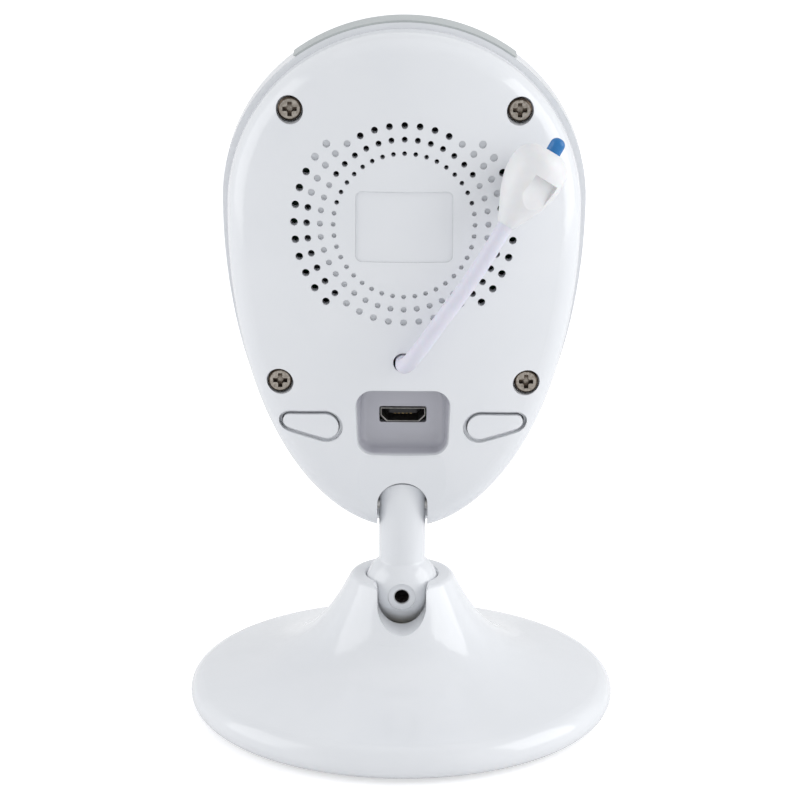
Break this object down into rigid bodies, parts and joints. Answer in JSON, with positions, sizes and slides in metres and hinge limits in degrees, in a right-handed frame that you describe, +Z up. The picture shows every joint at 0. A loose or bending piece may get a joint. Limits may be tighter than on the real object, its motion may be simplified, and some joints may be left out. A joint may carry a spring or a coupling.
{
  "type": "baby monitor camera",
  "caption": "Egg-shaped white baby monitor camera with rear speaker grille, power recess and temperature probe, hinged on a ball-jointed neck over a round weighted base.",
  "frame": {"origin": "centre of the base's footprint, on the table plane", "axes": "+Z up, the lens looks along -Y, the back of the head faces +Y, +X is left when the back is seen upright"},
  "size_m": [0.0714, 0.0714, 0.1173],
  "materials": {
    "white_shell": "gloss white moulded ABS",
    "grey_trim": "satin grey trim",
    "underside": "fine textured white",
    "rubber_foot": "matt black",
    "steel": "zinc plated",
    "black_screw": "black oxide",
    "nickel_screw": "nickel plated",
    "nylon": "natural nylon",
    "window": "black gloss acrylic",
    "black_plastic": "satin black",
    "lens_glass": "coated glass",
    "led_clear": "clear dark epoxy",
    "sensor": "silicon under glass",
    "status_lens": "frosted clear",
    "circuit_board": "green solder mask",
    "shield_can": "tinned steel",
    "antenna_strip": "sprung brass",
    "gold_contacts": "gold plated",
    "speaker_body": "black frame and cone",
    "foam": "black foam",
    "probe_white": "warm white",
    "probe_cable": "pale soft PVC",
    "probe_blue": "blue sensor cap"
  },
  "bodies": {
    "base": {"base_shell": "white_shell", "base_cover": "underside", "base_screws": "steel", "foot_ring": "rubber_foot", "ballast_ring": "steel", "pressure_cup": "nylon", "seat_spring": "steel"},
    "liner": {"friction_liner": "nylon"},
    "neck": {"neck_front_half": "white_shell", "neck_rear_half": "white_shell", "neck_screw": "black_screw"},
    "head": {"hinge_pin": "steel", "rear_shell": "white_shell", "front_shell": "white_shell", "crown_trim": "grey_trim", "housing_screws": "nickel_screw", "tact_switches": "shield_can", "front_window": "window", "lens_barrel": "black_plastic", "lens_glass": "lens_glass", "lens_holder": "black_plastic", "image_sensor": "sensor", "ir_led_board": "circuit_board", "ir_leds": "led_clear", "light_sensor": "status_lens", "status_light": "status_lens", "microphone": "shield_can", "main_board": "circuit_board", "board_screws": "steel", "rf_shield": "shield_can", "antenna": "antenna_strip", "usb_shell": "nickel_screw", "usb_tongue": "black_plastic", "usb_contacts": "gold_contacts", "speaker": "speaker_body", "speaker_gasket": "foam", "probe_cable": "probe_cable", "probe_connector": "nylon", "probe_housing": "probe_white", "probe_tip": "probe_blue"},
    "left_button": {"rear_button_left": "white_shell", "switch_plunger_left": "black_plastic"},
    "right_button": {"rear_button_right": "white_shell", "switch_plunger_right": "black_plastic"}
  },
  "joints": [
    {"name": "neck_tilt", "type": "hinge", "parent": "base", "child": "liner", "pos_m": [0, 0, 0.0218], "axis": [-1, 0, 0], "range_deg": [-25, 60]},
    {"name": "neck_twist", "type": "hinge", "parent": "liner", "child": "neck", "pos_m": [0, 0, 0.0218], "axis": [0, 0, 1], "continuous": true},
    {"name": "head_tilt", "type": "hinge", "parent": "neck", "child": "head", "pos_m": [0, 0, 0.0366], "axis": [-1, 0, 0], "range_deg": [-15, 30]},
    {"name": "left_button_press", "type": "slide", "parent": "head", "child": "left_button", "axis": [0, -1, 0], "range_m": [0, 0.0005], "stiffness_N_per_m": 60},
    {"name": "right_button_press", "type": "slide", "parent": "head", "child": "right_button", "axis": [0, -1, 0], "range_m": [0, 0.0005], "stiffness_N_per_m": 60}
  ]
}
